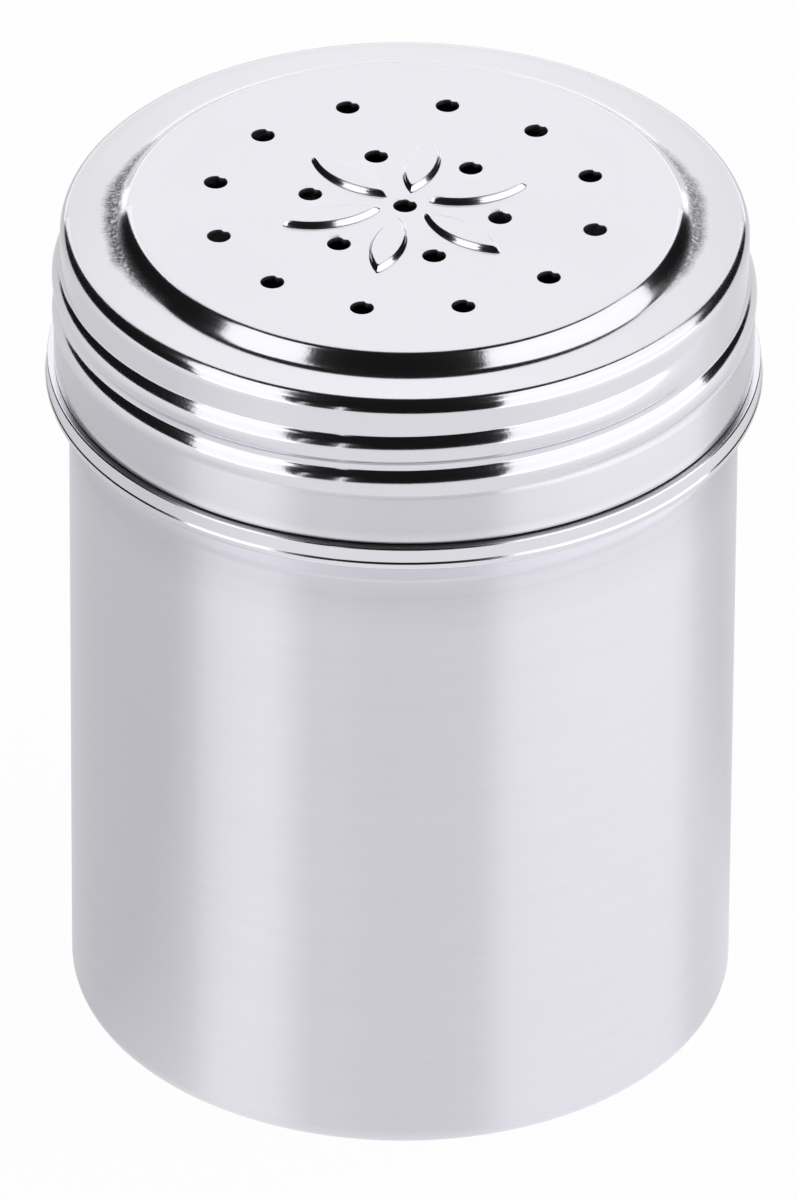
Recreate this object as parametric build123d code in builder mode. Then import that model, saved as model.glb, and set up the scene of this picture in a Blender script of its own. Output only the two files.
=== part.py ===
from build123d import *
import os
from math import radians, tan

# A catering spice shaker in stainless sheet: a drawn container whose neck is rolled with a knuckle
# thread, and a pressed screw cap with a raised, perforated top. Millimetres, +Z up, origin at the
# centre of the base.

# ---- sheet and container ----
sheet = 0.5  # both pieces are drawn from the same sheet
body_radius = 32.5
body_height = 66.4  # from the base to the foot of the collar
base_corner = 2.2  # rounded corner between the base and the side
base_recess = 0.6  # the middle of the base is pressed up by this much
standing_ring = 4.0  # width of the flat ring that the container stands on
recess_slope = 1.6  # width of the slope from the standing ring up to the recess
collar_overhang = 2.3  # the collar's crest stands out from the side by this much
collar_flare = 3.0  # height over which the side swells out to the crest
collar_land = 0.45  # height of the crest
collar_step = 0.15  # height of the slope from the crest in to the band
band_height = 1.5  # upright band above the crest
shoulder_rise = 0.1  # the shoulder climbs by this much from the band in to the neck

# ---- cap ----
skirt_overhang = 1.45  # the skirt's outer face stands out from the container's side by this much
skirt_height = 6.2  # plain skirt, up to the middle of the slope that draws it in
skirt_draw = 0.65  # the threaded wall is drawn in from the skirt by this much
skirt_slope = 2.6  # height over which it is drawn in
cap_height = 15.25  # from the skirt's edge to the flat ring
cap_corner = 1.4  # rounded corner between the flat ring and the threaded wall
ring_width = 3.8  # flat ring round the raised top
top_slope = 1.65  # width of the raised top's sloping wall, seen from above
top_rise = 1.42  # the raised top stands this much above the flat ring

# ---- thread: one right-hand knuckle thread, rolled out of the sheet of both pieces ----
thread_pitch = 3.85
thread_height = 0.8
thread_width = 3.1  # across one bead, where it leaves the wall
thread_foot = 4.4  # from the skirt's edge to the middle of its lower end
thread_start = 97.0  # where its lower end lies, in degrees from +X
thread_margin = 1.55  # from its upper end to the cap's rounded corner
thread_clearance = 0.4  # between the neck's crests and the cap's bore

# ---- holes and embossed rosette of the raised top ----
hole_diameter = 2.2
hole_margin = 7.7  # from the outer row of holes to the edge of the raised top
outer_holes = 12
inner_holes = 6  # the rosette has a petal between each two of them
hole_angle = 107.5  # where each row starts, in degrees from +X
petal_length = 10.0
petal_width = 3.4
petal_gap = 2.4  # from the centre of the top to the petals' inner tips
petal_rise = 0.5
petal_draft = 35.0  # how far the petals' sides lean from upright, in degrees

# ---- roundings of the sheet, on its outer face ----
recess_rounding = 1.0
body_rounding = 2.5
crest_rounding = 1.0
step_rounding = 0.15
band_rounding = 0.25
neck_rounding = 1.0
skirt_rounding = 1.0
top_rounding = 0.9
top_foot_rounding = 1.6

# ---- fit of the cap on the container ----
skirt_gap = 0.2  # between the skirt's edge and the collar's shoulder
band_proud = 0.7  # the band stands out from the skirt by this much

# ---- places worked out from the sizes ----
skirt_radius = body_radius + skirt_overhang
wall_radius = skirt_radius - skirt_draw
neck_radius = wall_radius - sheet - thread_clearance - thread_height
band_radius = skirt_radius + band_proud
crest_radius = body_radius + collar_overhang
ring_radius = body_radius - base_corner - standing_ring

crest_z = body_height + collar_flare
band_z = crest_z + collar_land + collar_step
shoulder_z = band_z + band_height
skirt_z = shoulder_z + skirt_gap
draw_z = skirt_z + skirt_height
ring_z = skirt_z + cap_height
mouth_z = ring_z - sheet  # the flat ring's underside rests on the container's mouth
top_z = ring_z + top_rise

top_radius = wall_radius - cap_corner - ring_width - top_slope
outer_row = top_radius - hole_margin
inner_row = outer_row / 2

bead_radius = (thread_width**2 / 4 + thread_height**2) / (2 * thread_height)  # of the bead's round section
bead_depth = bead_radius - thread_height  # from the wall in to the middle of that round
thread_z = skirt_z + thread_foot
thread_rise = ring_z - cap_corner - thread_margin - thread_width / 2 - thread_z

petal_radius = (petal_length**2 + petal_width**2) / (4 * petal_width)  # of the two arcs that bound a petal
petal_row = petal_gap + petal_length / 2
petal_angle = hole_angle + 180 / inner_holes
petal_inset = sheet * tan(radians(90 - petal_draft) / 2)  # keeps the sheet's thickness round a petal


def drawn_sheet(points, roundings, inner_side):
    """The sheet turned about Z: its outer face follows the points, its thickness lies on the inner side."""
    with BuildPart() as drawn:
        with BuildSketch(Plane.XZ):
            with BuildLine():
                outer_face = FilletPolyline(*points, radius=roundings)
                offset(outer_face, amount=sheet, side=inner_side)
            make_face()
        revolve(axis=Axis.Z)
    return drawn.part


def bead_nose(helix, end, root_radius, round_radius, depth):
    """The rounded nose of a bead at one end of its helix, cut back to the depth below root_radius."""
    tip = helix @ end
    outward = Vector(tip.X, tip.Y, 0).normalized()
    with BuildPart() as nose:
        with Locations(tip - outward * bead_depth):
            Sphere(round_radius)
        with Locations((0, 0, tip.Z)):
            Cylinder(root_radius - depth, 4 * bead_radius, mode=Mode.SUBTRACT)
    return nose.part


def helical_bead(root_radius, round_radius, depth):
    """A bead of round section along the thread, from the depth below root_radius outwards; starts at +X.

    A round of bead_radius crests thread_height above root_radius, and a smaller one lies under it."""
    with BuildLine(Plane.XY.offset(thread_z)) as path:
        Helix(thread_pitch, thread_rise, root_radius)
    helix = path.line
    noses = [bead_nose(helix, end, root_radius, round_radius, depth) for end in (0, 1)]
    with BuildPart() as bead:
        with BuildSketch(Plane(helix @ 0, x_dir=Vector(1, 0, 0), z_dir=helix % 0)):
            with Locations((-bead_depth, 0)):
                Circle(round_radius)
            with Locations((-depth, 0)):
                Rectangle(
                    3 * bead_radius,
                    3 * bead_radius,
                    align=(Align.MIN, Align.CENTER),
                    mode=Mode.INTERSECT,
                )
        sweep(path=helix, is_frenet=True)
        add(noses)
    return bead.part


def threaded(sheet_part, root_radius):
    """The sheet with the thread rolled in it: a bead on its outer face, and that bead's hollow behind it."""
    bead = helical_bead(root_radius, bead_radius, sheet / 2)
    hollow = helical_bead(root_radius, bead_radius - sheet, 2 * sheet)
    with BuildPart() as rolled:
        add(sheet_part)
        add(bead, rotation=(0, 0, thread_start))
        add(hollow, rotation=(0, 0, thread_start), mode=Mode.SUBTRACT)
    return rolled.part


def petals(height, inset):
    """The rosette's petals, each bounded by two arcs, in the plane at this height."""
    with BuildSketch() as petal:
        with Locations((0, petal_radius - petal_width / 2)):
            Circle(petal_radius - inset)
        with Locations((0, petal_width / 2 - petal_radius)):
            Circle(petal_radius - inset, mode=Mode.INTERSECT)
    with BuildSketch(Plane.XY.offset(height)) as rosette:
        with PolarLocations(petal_row, inner_holes, petal_angle):
            add(petal.sketch)
    return rosette.sketch


# ---- container: drawn cup with a pressed-in base, a rolled collar below the cap and a threaded neck ----
container_sheet = drawn_sheet(
    [
        (0, base_recess),
        (ring_radius - recess_slope, base_recess),
        (ring_radius, 0),
        (body_radius, 0),
        (body_radius, body_height),
        (crest_radius, crest_z),
        (crest_radius, crest_z + collar_land),
        (band_radius, band_z),
        (band_radius, shoulder_z),
        (neck_radius, shoulder_z + shoulder_rise),
        (neck_radius, mouth_z),
    ],
    [
        recess_rounding,
        recess_rounding,
        base_corner,
        body_rounding,
        crest_rounding,
        step_rounding,
        step_rounding,
        band_rounding,
        neck_rounding,
    ],
    Side.LEFT,
)
container = threaded(container_sheet, neck_radius)

# ---- cap: drawn sheet with a raised top, rolled to the container's thread, embossed and punched ----
cap_sheet = drawn_sheet(
    [
        (0, top_z),
        (top_radius, top_z),
        (top_radius + top_slope, ring_z),
        (wall_radius, ring_z),
        (wall_radius, draw_z + skirt_slope / 2),
        (skirt_radius, draw_z - skirt_slope / 2),
        (skirt_radius, skirt_z),
    ],
    [top_rounding, top_foot_rounding, cap_corner, skirt_rounding, skirt_rounding],
    Side.RIGHT,
)
cap_threaded = threaded(cap_sheet, wall_radius)
rosette = petals(top_z, 0)
rosette_hollow = petals(top_z - sheet, petal_inset)
with BuildPart() as cap:
    add(cap_threaded)
    extrude(rosette, amount=petal_rise, taper=petal_draft)
    extrude(rosette_hollow, amount=petal_rise, taper=petal_draft, mode=Mode.SUBTRACT)
    with Locations((0, 0, top_z)):
        Hole(hole_diameter / 2)
    for row, count in ((inner_row, inner_holes), (outer_row, outer_holes)):
        with Locations((0, 0, top_z)):
            with PolarLocations(row, count, hole_angle):
                Hole(hole_diameter / 2)

os.makedirs("parts", exist_ok=True)
container.label = "container"
export_step(container, "parts/container.step")
cap.part.label = "cap"
export_step(cap.part, "parts/cap.step")
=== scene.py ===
from math import asin, atan2, ceil, cos, degrees, pi, radians, sin, sqrt, tan

import bmesh
import bpy
from mathutils import Matrix, Vector


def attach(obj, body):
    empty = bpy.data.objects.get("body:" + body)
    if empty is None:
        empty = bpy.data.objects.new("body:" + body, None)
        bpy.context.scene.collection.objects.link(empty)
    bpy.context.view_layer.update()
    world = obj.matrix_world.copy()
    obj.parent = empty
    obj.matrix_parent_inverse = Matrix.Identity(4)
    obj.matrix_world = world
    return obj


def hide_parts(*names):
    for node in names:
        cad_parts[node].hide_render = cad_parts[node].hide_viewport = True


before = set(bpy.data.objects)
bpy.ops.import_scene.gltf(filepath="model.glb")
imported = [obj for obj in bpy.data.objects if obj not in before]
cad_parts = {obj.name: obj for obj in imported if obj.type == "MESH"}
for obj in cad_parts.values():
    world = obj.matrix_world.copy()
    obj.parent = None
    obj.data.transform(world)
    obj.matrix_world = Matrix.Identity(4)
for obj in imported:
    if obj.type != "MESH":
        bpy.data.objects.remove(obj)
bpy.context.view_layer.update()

# ---- camera ----
# A long lens, a little under two metres away, looks down on the standing shaker from the
# front. Its angles are in radians.
heading = 0.0003
downward = 0.5843
tilt = 0.0063
bpy.ops.object.camera_add(location=(0, -1.47075, 1.01547))
camera = bpy.context.object
camera.name = "camera"
camera.data.lens = 540.92
camera.data.sensor_width = 36
camera.rotation_euler = (
    Matrix.Rotation(heading, 3, "Z")
    @ Matrix.Rotation(pi / 2 - downward, 3, "X")
    @ Matrix.Rotation(tilt, 3, "Z")
).to_euler()
bpy.context.scene.camera = camera

# ---- container ----
# A cup drawn from one stainless sheet. Its base is pressed up inside a standing ring, its side
# swells into a collar with an upright band, and its neck is rolled with a knuckle thread. The
# side is finely brushed while it turns.
mm = 0.001
sheet = 0.5 * mm
body_radius = 32.5 * mm
collar_foot_z = 66.4 * mm
base_recess = 0.6 * mm
ring_radius = 26.3 * mm
recess_radius = 24.7 * mm
crest_radius = 34.8 * mm
crest_z = 69.4 * mm
crest_top_z = 69.85 * mm
band_radius = 34.65 * mm
band_z = 70.0 * mm
shoulder_z = 71.5 * mm
neck_radius = 31.6 * mm
neck_foot_z = 71.6 * mm
mouth_z = 86.45 * mm
turning_steps = 288  # facets round a turned piece
row_height = 0.16 * mm  # between the rows of faces where the thread is rolled

thread_pitch = 3.85 * mm
thread_height = 0.8 * mm
thread_width = 3.1 * mm
thread_rounding = 0.14 * mm  # how softly a bead's foot runs into the wall
thread_z = 76.1 * mm
bead_radius = (thread_width**2 / 4 + thread_height**2) / (2 * thread_height)
thread_start = 97.0  # degrees from +X
thread_end = 690.8
thread_fade = 26.0  # the bead rises and dies away over so many degrees
slope_rise = 0.7 * mm  # a slope at the wall's foot takes the thread until it stands out by this much
smallest = 0.002 * mm  # vertices closer than this are one


def deselect_all():
    bpy.ops.object.select_all(action="DESELECT")


def select_where(kind, chosen):
    """In edit mode, selects just the vertices, edges or faces for which chosen is true."""
    bpy.ops.mesh.select_mode(type={"verts": "VERT", "edges": "EDGE", "faces": "FACE"}[kind])
    bpy.ops.mesh.select_all(action="DESELECT")
    shape = bmesh.from_edit_mesh(bpy.context.object.data)
    for part in getattr(shape, kind):
        if chosen(part):
            part.select_set(True)
    shape.select_flush(True)
    bmesh.update_edit_mesh(bpy.context.object.data)


def first_vertex(x, y, z):
    """Starts a new mesh, in edit mode, with one vertex."""
    deselect_all()
    bpy.ops.mesh.primitive_plane_add(size=mm, enter_editmode=True)
    bpy.ops.mesh.select_mode(type="VERT")
    bpy.ops.mesh.merge(type="CENTER")
    bpy.ops.transform.translate(value=(x, y, z))


def draw_to(start, end):
    """Extrudes the selected vertex from start to end and returns end."""
    bpy.ops.mesh.extrude_region_move(TRANSFORM_OT_translate={"value": end - start})
    return end


def draw_outline(corners):
    """Draws a sheet's outline: a vertex extruded from corner to corner, spun round each rounding.

    A corner is (x, z, radius of its rounding)."""
    places = [Vector((x, 0, z)) for x, z, rounding in corners]
    first_vertex(*places[0])
    here = places[0]
    for before, corner, after, (x, z, rounding) in zip(places, places[1:], places[2:], corners[1:]):
        back, onward = (before - corner).normalized(), (after - corner).normalized()
        opening = back.angle(onward)
        here = draw_to(here, corner + back * rounding / tan(opening / 2))
        centre = corner + (back + onward).normalized() * rounding / sin(opening / 2)
        there = corner + onward * rounding / tan(opening / 2)
        turn = pi - opening
        steps = max(4, ceil(turn / radians(9)))
        if (here - centre).cross(there - centre).y > 0:
            turn = -turn
        bpy.ops.mesh.spin(steps=steps, angle=turn, center=centre, axis=(0, 1, 0))
        here = there
    draw_to(here, places[-1])


def cut_rows(low, high):
    """Divides the outline's straight run that crosses both heights into even rows."""

    def crosses(edge):
        a, b = sorted(v.co.z for v in edge.verts)
        return a < low and b > high

    select_where("edges", crosses)
    shape = bmesh.from_edit_mesh(bpy.context.object.data)
    run = [edge for edge in shape.edges if edge.select][0]
    bpy.ops.mesh.subdivide(number_cuts=round(run.calc_length() / row_height) - 1)


def turn_round(name):
    """Spins the outline round the axis and closes its seam."""
    bpy.ops.mesh.select_all(action="SELECT")
    bpy.ops.mesh.spin(steps=turning_steps, angle=2 * pi, center=(0, 0, 0), axis=(0, 0, 1))
    bpy.ops.mesh.select_all(action="SELECT")
    bpy.ops.mesh.remove_doubles(threshold=smallest)
    bpy.ops.mesh.normals_make_consistent(inside=False)
    bpy.ops.object.mode_set(mode="OBJECT")
    piece = bpy.context.object
    piece.name = name
    return piece


def eased(t):
    """A smooth step from 0 to 1 while t goes from 0 to 1."""
    t = min(max(t, 0), 1)
    return t * t * (3 - 2 * t)


def roll_thread(piece, wall_radius, low, high):
    """Presses the thread out of the wall between two heights.

    No operator rolls a bead whose ends fade away, so the wall's vertices are moved."""
    for vertex in piece.data.vertices:
        x, y, z = vertex.co
        radius = sqrt(x * x + y * y)
        rise = radius - wall_radius
        if not low < z < high or not -0.01 * mm < rise < slope_rise:
            continue
        angle = degrees(atan2(y, x)) % 360
        for along in (angle, angle + 360, angle + 720):
            if not thread_start <= along <= thread_end:
                continue
            away = abs(z - thread_z - thread_pitch * (along - thread_start) / 360)
            if away < bead_radius:
                faded_in = eased((along - thread_start) / thread_fade)
                faded_out = eased((thread_end - along) / thread_fade)
                crest = sqrt(bead_radius**2 - away**2) - bead_radius + thread_height
                bead = faded_in * faded_out * crest
                blend = min(max(0.5 + 0.5 * (bead - rise) / thread_rounding, 0), 1)
                rise += (bead - rise) * blend + thread_rounding * blend * (1 - blend)
        vertex.co.x = (wall_radius + rise) * x / radius
        vertex.co.y = (wall_radius + rise) * y / radius


def thicken(piece):
    """Gives the turned face the sheet's thickness inwards. The inner side takes the second material."""
    deselect_all()
    piece.select_set(True)
    bpy.context.view_layer.objects.active = piece
    bpy.ops.object.modifier_add(type="SOLIDIFY")
    wall = piece.modifiers[-1]
    wall.thickness = sheet
    wall.offset = -1
    wall.use_even_offset = True
    wall.use_quality_normals = True
    wall.material_offset = 1
    wall.material_offset_rim = 1
    bpy.ops.object.modifier_apply(modifier=wall.name)


def soften(piece):
    """Rounds the cut edges a little and shades the rest smooth."""
    bpy.ops.object.modifier_add(type="BEVEL")
    edges = piece.modifiers[-1]
    edges.width = 0.08 * mm
    edges.segments = 2
    edges.limit_method = "ANGLE"
    edges.angle_limit = radians(65)
    bpy.ops.object.modifier_apply(modifier=edges.name)
    bpy.ops.object.shade_smooth_by_angle(angle=radians(40))
    bpy.ops.object.modifier_add(type="WEIGHTED_NORMAL")
    piece.modifiers[-1].keep_sharp = True
    bpy.ops.object.modifier_apply(modifier=piece.modifiers[-1].name)


class Wire:
    """An output of a node. The arithmetic signs add Math nodes."""

    def __init__(self, finish, socket):
        self.finish, self.socket = finish, socket

    def maths(self, operation, *values):
        return self.finish.node("ShaderNodeMath", {"operation": operation}, dict(enumerate(values)))

    def __add__(self, other):
        return self.maths("ADD", self, other)

    def __radd__(self, other):
        return self.maths("ADD", other, self)

    def __sub__(self, other):
        return self.maths("SUBTRACT", self, other)

    def __rsub__(self, other):
        return self.maths("SUBTRACT", other, self)

    def __mul__(self, other):
        return self.maths("MULTIPLY", self, other)

    def __rmul__(self, other):
        return self.maths("MULTIPLY", other, self)

    def __truediv__(self, other):
        return self.maths("DIVIDE", self, other)

    def __rtruediv__(self, other):
        return self.maths("DIVIDE", other, self)

    def __pow__(self, other):
        return self.maths("POWER", self, other)

    def __abs__(self):
        return self.maths("ABSOLUTE", self)


class Finish:
    """The nodes of a material or of the world, with the one method that adds a node."""

    def __init__(self, owner):
        self.owner = owner
        owner.use_nodes = True
        self.tree = owner.node_tree
        self.tree.nodes.clear()

    def node(self, kind, settings, inputs, out=0):
        """Adds a node: its settings first, then the values or wires of its inputs, by name or number."""
        made = self.tree.nodes.new(kind)
        for key, value in settings.items():
            setattr(made, key, value)
        for key, value in inputs.items():
            if isinstance(value, Wire):
                self.tree.links.new(value.socket, made.inputs[key])
            else:
                made.inputs[key].default_value = value
        if isinstance(out, tuple):
            return [Wire(self, made.outputs[each]) for each in out]
        return Wire(self, made.outputs[out]) if made.outputs else None


def clamped(value):
    """The wire's value, kept between 0 and 1."""
    return value.finish.node("ShaderNodeClamp", {}, {"Value": value})


def paint_where(piece, slot, chosen):
    """Gives the material in the slot to those outer faces of the sheet for which chosen is true."""
    for face in piece.data.polygons:
        if face.material_index == 0 and chosen(face):
            face.material_index = slot


def steel(name, color, roughness, anisotropic, streaks, grain, marks=None, haze=0):
    """Stainless sheet. One that is brushed round the axis smears what it mirrors up and down.

    The streaks vary its shade, the grain is how coarse it feels, and marks says how rubbed it is from
    place to place, and where shade or highlight is painted into its colour. The haze, where there is
    one, is the roughness of its deeper scratches."""
    finish = Finish(bpy.data.materials.new(name))
    place = finish.node("ShaderNodeTexCoord", {}, {}, out="Object")
    along = finish.node("ShaderNodeMapping", {}, {"Vector": place, "Scale": (60, 60, 5200)})
    fine = finish.node("ShaderNodeTexNoise", {}, {"Vector": along, "Scale": 1.0, "Detail": 3.0})
    widely = finish.node("ShaderNodeMapping", {}, {"Vector": place, "Scale": (40, 40, 700)})
    broad = finish.node("ShaderNodeTexNoise", {}, {"Vector": widely, "Scale": 1.0, "Detail": 2.0})
    cloud = finish.node("ShaderNodeTexNoise", {}, {"Vector": place, "Scale": 90.0, "Detail": 3.0})
    peel = finish.node("ShaderNodeTexNoise", {}, {"Vector": place, "Scale": 3000.0, "Detail": 2.0})
    shade = 1 + (fine - 0.5) * streaks + (broad - 0.5) * streaks * 0.8 + (cloud - 0.5) * 0.04
    wear_and_painted_light = 0.0
    if marks:
        wear_and_painted_light = marks(finish, place, peel)
        # the marks darken or brighten the colour: rubbing, painted shade and painted highlights
        shade = shade * (1 - wear_and_painted_light)
    gray = finish.node("ShaderNodeCombineColor", {}, {0: shade, 1: shade, 2: shade})
    tint = finish.node(  # sockets 6 and 7 take the colours, and output 2 gives one
        "ShaderNodeMix",
        {"data_type": "RGBA", "blend_type": "MULTIPLY"},
        {0: 1.0, 6: (*color, 1), 7: gray},
        out=2,
    )
    bump = finish.node(
        "ShaderNodeBump", {}, {"Strength": grain, "Distance": 0.00002, "Height": fine * 0.1 + peel}
    )
    uneven = (fine - 0.5) * 0.06 + (cloud - 0.5) * 0.05 + wear_and_painted_light * 0.25

    def brushed(rough):
        return finish.node(
            "ShaderNodeBsdfPrincipled",
            {},
            {
                "Base Color": tint,
                "Metallic": 1.0,
                "Roughness": clamped(rough + uneven),
                "Anisotropic": anisotropic,
                "Anisotropic Rotation": 0.25 if anisotropic else 0.0,
                "Normal": bump,
            },
        )

    surface = brushed(roughness)
    if haze:
        surface = finish.node("ShaderNodeMixShader", {}, {0: 0.5, 1: surface, 2: brushed(haze)})
    finish.node("ShaderNodeOutputMaterial", {}, {"Surface": surface})
    return finish.owner


def side_painted_reflections(finish, place, peel):
    """Painted reflections of the collar: the side is painted darker just below the collar, with two
    faint darker lines round it, and the collar's flare is painted brighter, a painted highlight."""
    height = finish.node("ShaderNodeSeparateXYZ", {}, {0: place}, out=2) * 1000
    line = clamped(1 - abs(height - 66.2) * 2.5)
    arc = clamped(1 - abs(height - 64.4) * 2.5)
    collar_reflected_shade = clamped((height - 60) * 0.25) * clamped((66.3 - height) * 2)
    flare = clamped((height - 66.6) * 2)
    # painted shade where the collar is mirrored, and a painted highlight on the flare
    return line * 0.06 + arc * 0.02 + collar_reflected_shade * 0.05 - flare * 0.13


def collar_painted_shade(finish, place, peel):
    """Painted shade darkens the narrow shoulder under the cap's rim, in front, in the gap's shadow."""
    y, z = finish.node("ShaderNodeSeparateXYZ", {}, {0: place}, out=(1, 2))
    on_shoulder = clamped((z * 1000 - 71.4) * 10)
    in_front = clamped(y * -60 - 0.6)
    return on_shoulder * in_front * 0.6


draw_outline(
    [
        (0, base_recess, 0),
        (recess_radius, base_recess, 1.0 * mm),
        (ring_radius, 0, 1.0 * mm),
        (body_radius, 0, 2.2 * mm),
        (body_radius, collar_foot_z, 2.5 * mm),
        (crest_radius, crest_z, 1.0 * mm),
        (crest_radius, crest_top_z, 0.15 * mm),
        (band_radius, band_z, 0.15 * mm),
        (band_radius, shoulder_z, 0.25 * mm),
        (neck_radius, neck_foot_z, 1.0 * mm),
        (neck_radius, mouth_z, 0),
    ]
)
cut_rows(76 * mm, 85 * mm)
container = turn_round("container_sheet")
roll_thread(container, neck_radius, 73 * mm, 86 * mm)
for material in (
    steel("satin_side", (0.77, 0.762, 0.823), 0.12, 1.0, 0.05, 0.02, side_painted_reflections, haze=0.39),
    # the inside is rougher, and its colour is painted darker than the outside's as painted shade, so it
    # shows dark through the holes
    steel("dull_inside_painted_dark", (0.42, 0.415, 0.43), 0.42, 0.0, 0.05, 0.3),
    steel("bright_collar", (0.72, 0.713, 0.76), 0.18, 0.5, 0.03, 0.05, collar_painted_shade),
):
    container.data.materials.append(material)
thicken(container)
soften(container)
paint_where(container, 2, lambda face: crest_z - 0.6 * mm < face.center.z < neck_foot_z + 0.3 * mm)
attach(container, "container")
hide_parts("container")

# ---- cap ----
# A screw cap pressed from the same sheet: a raised flat top with rounded edges, a flat ring, a
# wall rolled with the container's thread and a plain skirt. Punches leave the holes with
# small burrs, and the rosette is embossed in the middle of the top.
skirt_radius = 33.95 * mm
wall_radius = 33.3 * mm
skirt_z = 71.7 * mm
draw_z = 77.9 * mm  # the middle of the slope that draws the skirt in to the threaded wall
draw_half = 1.3 * mm  # half of that slope's height
flat_ring_z = 86.95 * mm
bend_z = 86.0 * mm  # above this the wall has begun to bend in to the flat ring
top_z = 88.37 * mm
top_radius = 26.45 * mm
top_foot_radius = 28.1 * mm
fill_radius = 24.9 * mm  # the plain middle of the top starts here
outer_row = 18.75 * mm
inner_row = 9.375 * mm
hole_radius = 1.16 * mm
hole_angle = 107.5  # degrees from +X, where both rows start
hole_sides = 30
hole_rows = ((inner_row, 6), (outer_row, 12))
burr = 0.78  # the burr reaches in to this share of the hole's radius
petal_length = 10.0 * mm
petal_width = 3.4 * mm
petal_row = 7.4 * mm  # from the axis to the petal's middle
petal_angle = 137.5
petal_margin = 0.35 * mm  # from the petal's outline on the top in to the foot of its side
petal_point = 1.6  # a petal's tip draws in so much faster than its sides
petal_sides = 20
petal_steps = (  # the section of a petal's side: how far each step goes in and up, in mm
    (0.15, 0.0),
    (0.12, 0.02),
    (0.12, 0.07),
    (0.12, 0.16),
    (0.12, 0.14),
    (0.12, 0.08),
    (0.12, 0.03),
    (0.1, 0.0),
)

draw_outline(
    [
        (fill_radius, top_z, 0),
        (top_radius, top_z, 1.5 * mm),
        (top_foot_radius, flat_ring_z, 2.6 * mm),
        (wall_radius, flat_ring_z, 1.4 * mm),
        (wall_radius, draw_z + draw_half, 1.0 * mm),
        (skirt_radius, draw_z - draw_half, 1.0 * mm),
        (skirt_radius, skirt_z, 0),
    ]
)
for low, high in ((80, 84), (77.5, 78.3), (73, 75)):  # the threaded wall, the slope and the skirt
    cut_rows(low * mm, high * mm)
cap = turn_round("cap_sheet")

# One punched hole with the small burr of its punch. All its copies keep the burr's heading.
deselect_all()
bpy.ops.mesh.primitive_circle_add(
    vertices=hole_sides, radius=hole_radius, location=(0, 0, top_z), enter_editmode=True
)
select_where("verts", lambda v: 0.35 < v.co.x / hole_radius < 0.7 and v.co.y > 0)
bpy.ops.transform.resize(value=(burr, burr, 1), center_override=(0, 0, top_z))
bpy.ops.object.mode_set(mode="OBJECT")
bpy.ops.object.transform_apply(location=True, rotation=False, scale=False)
holes = [bpy.context.object]
for row, count in hole_rows:
    for step in range(count):
        angle = radians(hole_angle + 360 * step / count)
        deselect_all()
        holes[0].select_set(True)
        bpy.context.view_layer.objects.active = holes[0]
        bpy.ops.object.duplicate()
        bpy.ops.transform.translate(value=(row * cos(angle), row * sin(angle), 0))
        bpy.ops.object.transform_apply(location=True, rotation=False, scale=False)
        holes.append(bpy.context.object)

# One petal: two arcs, stepped inwards and up, and then its five copies.
half_length = petal_length / 2 + petal_margin * petal_point
half_width = petal_width / 2 + petal_margin
arc_radius = (half_length**2 + half_width**2) / (2 * half_width)
first_vertex(petal_row - half_length, 0, top_z)
for side in (1, -1):
    bpy.ops.mesh.spin(
        steps=petal_sides,
        angle=2 * asin(half_length / arc_radius),
        center=(petal_row, side * (half_width - arc_radius), top_z),
        axis=(0, 0, 1),
    )
bpy.ops.mesh.select_all(action="SELECT")
bpy.ops.mesh.remove_doubles(threshold=smallest)
for inwards, upwards in petal_steps:
    bpy.ops.mesh.extrude_region_move(TRANSFORM_OT_translate={"value": (0, 0, upwards * mm)})
    shorter = 1 - inwards * mm * petal_point / half_length
    narrower = 1 - inwards * mm / half_width
    bpy.ops.transform.resize(value=(shorter, narrower, 1), center_override=(petal_row, 0, 0))
    half_length *= shorter
    half_width *= narrower
bpy.ops.mesh.edge_face_add()
bpy.ops.object.mode_set(mode="OBJECT")
petal = bpy.context.object
petal.rotation_euler.z = radians(petal_angle)
bpy.ops.object.transform_apply(location=False, rotation=True, scale=False)
bpy.ops.object.mode_set(mode="EDIT")
bpy.ops.mesh.select_all(action="SELECT")
bpy.ops.mesh.spin(steps=5, dupli=True, angle=2 * pi * 5 / 6, center=(0, 0, 0), axis=(0, 0, 1))
bpy.ops.object.mode_set(mode="OBJECT")

deselect_all()
for part in [cap, petal] + holes:
    part.select_set(True)
bpy.context.view_layer.objects.active = cap
bpy.ops.object.join()
bpy.ops.object.mode_set(mode="EDIT")


def is_rim(edge):
    """An open edge at the height of the raised top, whose middle is still to be filled."""
    return len(edge.link_faces) < 2 and all(abs(v.co.z - top_z) < smallest for v in edge.verts)


select_where("edges", is_rim)
bpy.ops.mesh.fill(use_beauty=True)
bpy.ops.mesh.select_all(action="SELECT")
bpy.ops.mesh.normals_make_consistent(inside=False)
bpy.ops.object.mode_set(mode="OBJECT")
roll_thread(cap, wall_radius, 74 * mm, 86.5 * mm)


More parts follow.
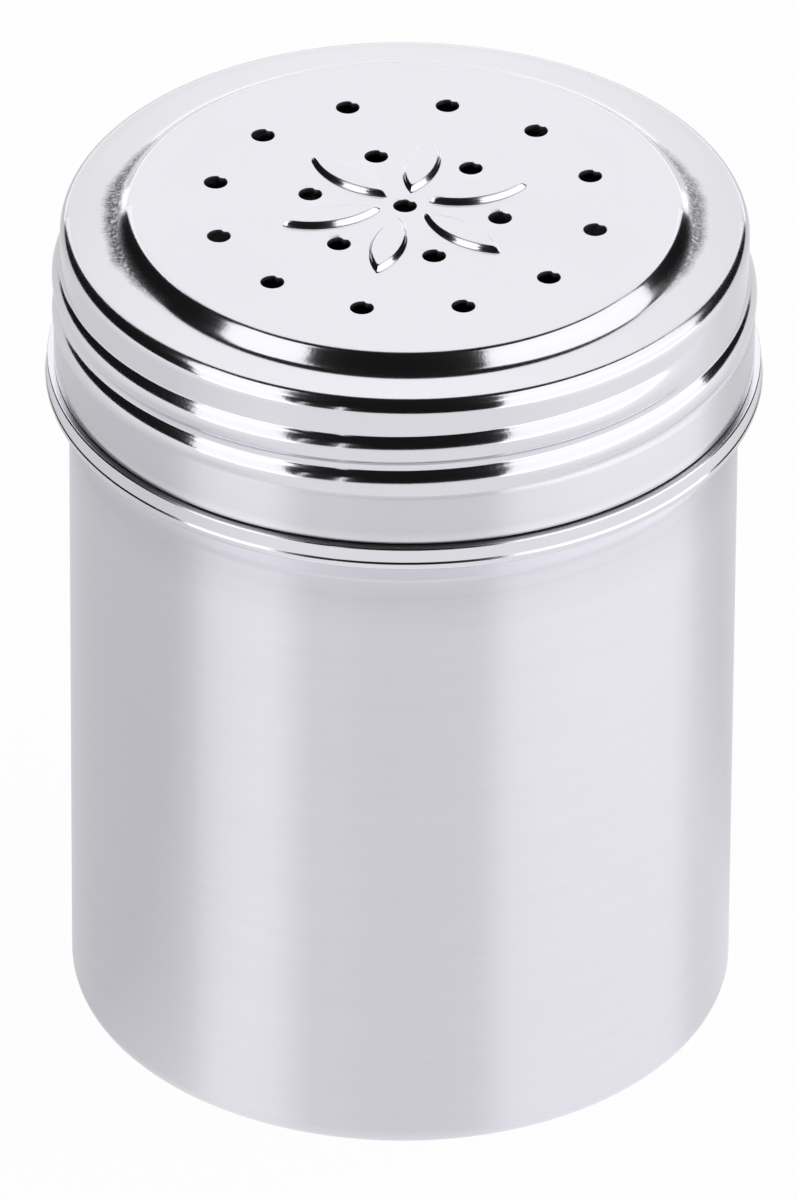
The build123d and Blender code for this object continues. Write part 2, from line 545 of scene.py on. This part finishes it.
def ring_marks(finish, place, peel):
    """Rubbed, grainy patches on the flat ring beside the raised top: a dark one at -X and a fainter
    one at +X. The ring also darkens outwards at the sides, and a little where it bends at the back."""
    x, y, z = finish.node("ShaderNodeSeparateXYZ", {}, {0: place}, out=(0, 1, 2))
    from_axis = x.maths("SQRT", x * x + y * y) * 1000
    patchy = finish.node("ShaderNodeTexNoise", {}, {"Vector": place, "Scale": 420.0, "Detail": 4.0})
    wear_and_painted_light = clamped((from_axis - 28) * 2) * (x * x * 90 - clamped(y * -40) * 0.035)
    bends = clamped(1.2 - abs(from_axis - 26.8)) + clamped((from_axis - 31) * 0.5)
    wear_and_painted_light = wear_and_painted_light + bends * clamped(y * 60) * 0.07
    for side, centre, spread, dark in ((-1, -0.06, 0.56, 0.85), (1, 0.0, 0.52, 0.7)):
        angle = y.maths("ARCTAN2", y, x * side)
        scratched = finish.node(
            "ShaderNodeTexNoise", {"noise_dimensions": "1D"}, {"W": angle * 75, "Detail": 3.0}
        )
        along = clamped(1.15 - ((angle - centre) / spread) ** 2)
        edge = 28.2 + along * (scratched * 1.5 + patchy * 1.2 - 0.2)
        inside = clamped((from_axis - 27.2) * 1.6) * clamped((edge - from_axis) * 1.1)
        grain = clamped(0.8 + (peel - 0.5) * 2.2 + (scratched - 0.5) * 1.2)
        wear_and_painted_light = wear_and_painted_light + inside * clamped(along * 4) * dark * grain
    return wear_and_painted_light * clamped((z * 1000 - 86.0) * 5)


def skirt_rim_painted_highlight(finish, place, peel):
    """The rim of the skirt is painted a little brighter: a painted highlight."""
    height = finish.node("ShaderNodeSeparateXYZ", {}, {0: place}, out=2) * 1000
    return clamped((72.9 - height) * 0.8) * -0.22


def is_top(face):
    """The ring and the raised top. At the back their bends are in the same finish."""
    return face.center.z > bend_z and face.normal.z > (0.96 if face.center.y < 0 else 0.8)


def is_skirt(face):
    """The plain skirt below the slope, without its cut edge."""
    return face.center.z < draw_z - 0.9 * mm and Vector(face.center.xy).length > skirt_radius - 0.1 * mm


for material in (
    steel("bright_wall", (0.70, 0.693, 0.74), 0.12, 0.5, 0.03, 0.12, ring_marks),
    # the inside, its colour painted darker as painted shade
    bpy.data.materials["dull_inside_painted_dark"],
    steel("bright_top", (0.645, 0.643, 0.68), 0.16, 0.0, 0.03, 0.1, ring_marks),
    steel("satin_skirt", (0.75, 0.742, 0.795), 0.13, 1.0, 0.03, 0.02, skirt_rim_painted_highlight, haze=0.39),
):
    cap.data.materials.append(material)
thicken(cap)
soften(cap)
paint_where(cap, 2, is_top)
paint_where(cap, 3, is_skirt)
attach(cap, "cap")
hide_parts("cap")

# ---- floor ----
# A plain floor that runs up into a low wall far off on every side. It is white to the camera,
# with a little of the shaker's shadow. As the metal mirrors it, its glow is painted brighter
# further out at both sides and painted darker from the left round to the back.
deselect_all()
bpy.ops.mesh.primitive_circle_add(
    vertices=96, radius=12, fill_type="NGON", location=(0, 0, -0.0001), enter_editmode=True
)
bpy.ops.mesh.select_all(action="SELECT")
bpy.ops.mesh.extrude_edges_move(TRANSFORM_OT_translate={"value": (0, 0, 0.6)})
bpy.ops.object.mode_set(mode="OBJECT")
floor = bpy.context.object
floor.name = "floor"
white = Finish(bpy.data.materials.new("white_floor"))
camera_ray = white.node("ShaderNodeLightPath", {}, {}, out="Is Camera Ray")
glossy_ray = white.node("ShaderNodeLightPath", {}, {}, out="Is Glossy Ray")
place = white.node("ShaderNodeTexCoord", {}, {}, out="Object")
x, y = white.node("ShaderNodeSeparateXYZ", {}, {0: place}, out=(0, 1))
away = x.maths("SQRT", x * x + y * y)
from_front = x.maths("ARCTAN2", x, 0 - y)  # radians, negative to the left
# painted darkening and painted brightening of the floor's glow, seen only in the metal's reflections
painted_dimming = clamped((-0.7 - from_front) * 1.6) * 0.22 + clamped((from_front - 1.8) * 3) * 0.15
at_sides = clamped(abs(from_front) * 2 - 1) * clamped(2.6 - abs(from_front))
painted_glow = at_sides * clamped(1 - 0.125 / away) * 0.3
gleam = 1 + (painted_glow - painted_dimming) * (1 - camera_ray)
glowing = white.node("ShaderNodeCombineColor", {}, {0: gleam, 1: gleam, 2: gleam})
glow = white.node("ShaderNodeEmission", {}, {"Color": glowing})
matt = white.node("ShaderNodeBsdfDiffuse", {}, {"Color": (0.9, 0.9, 0.9, 1)})
glows = (camera_ray + glossy_ray) * 0.97
mixed = white.node("ShaderNodeMixShader", {}, {0: glows, 1: matt, 2: glow})
white.node("ShaderNodeOutputMaterial", {}, {"Surface": mixed})
floor.data.materials.append(white.owner)

# ---- lamps ----
# A long soft box leans over the shaker on each side, in two lengths, and a wide one stands
# behind it. Two slim strips in front show as ticks in the cap's dark bands. The rest of the room
# is dark to the metal and white to the camera.
lamps = (  # name, place a metre off, way its back faces (degrees), roll, width, length, radiance
    ("left_soft_box", (-0.743, -0.493, 0.434), (-37.3, 8.4), 12.0, 0.53, 1.178, 1.37),
    ("left_soft_box_top", (-0.389, 0.125, 0.913), (-63.1, 18.5), 32.2, 0.316, 1.185, 1.37),
    ("right_soft_box", (0.918, -0.155, 0.365), (48.1, 3.9), -9.0, 1.437, 1.191, 1.37),
    ("right_soft_box_top", (0.423, 0.232, 0.876), (72.7, 12.9), -35.4, 0.717, 1.152, 1.37),
    ("back_soft_box", (-0.01, 1.0, 0.62), (180.5, 0.0), 0.0, 1.32, 1.24, 1.27),
    ("left_strip", (-0.53, -0.85, 0.28), (-32.0, 0.0), 0.0, 0.026, 0.5, 1.2),
    ("middle_strip", (-0.335, -0.94, 0.28), (-19.6, 0.0), 0.0, 0.026, 0.5, 1.8),
)
reach = 1.4  # the lamps stand this many times further off than their places say, and are as much larger
lamp_foot = Vector((0, 0, 0.06))  # the point on the shaker that their places count from
for name, place, (azimuth, elevation), roll, width, length, radiance in lamps:
    deselect_all()
    round_z, up = radians(azimuth), radians(elevation)
    bpy.ops.object.light_add(type="AREA", location=Vector(place) * reach + lamp_foot)
    lamp = bpy.context.object
    lamp.name = name
    backwards = Vector((sin(round_z) * cos(up), -cos(round_z) * cos(up), sin(up)))
    facing = backwards.to_track_quat("Z", "Y").to_matrix()
    lamp.rotation_euler = (facing @ Matrix.Rotation(radians(roll), 3, "Z")).to_euler()
    lamp.data.shape = "RECTANGLE"
    lamp.data.size = width * reach
    lamp.data.size_y = length * reach
    lamp.data.energy = radiance * pi * lamp.data.size * lamp.data.size_y
    lamp.visible_camera = False

room = Finish(bpy.data.worlds.new("dark_room"))
bpy.context.scene.world = room.owner
seen = room.node("ShaderNodeLightPath", {}, {}, out="Is Camera Ray")
air = room.node("ShaderNodeBackground", {}, {"Color": 0.01 + 0.99 * seen})
room.node("ShaderNodeOutputWorld", {}, {"Surface": air})

bpy.context.scene.view_settings.view_transform = "Standard"
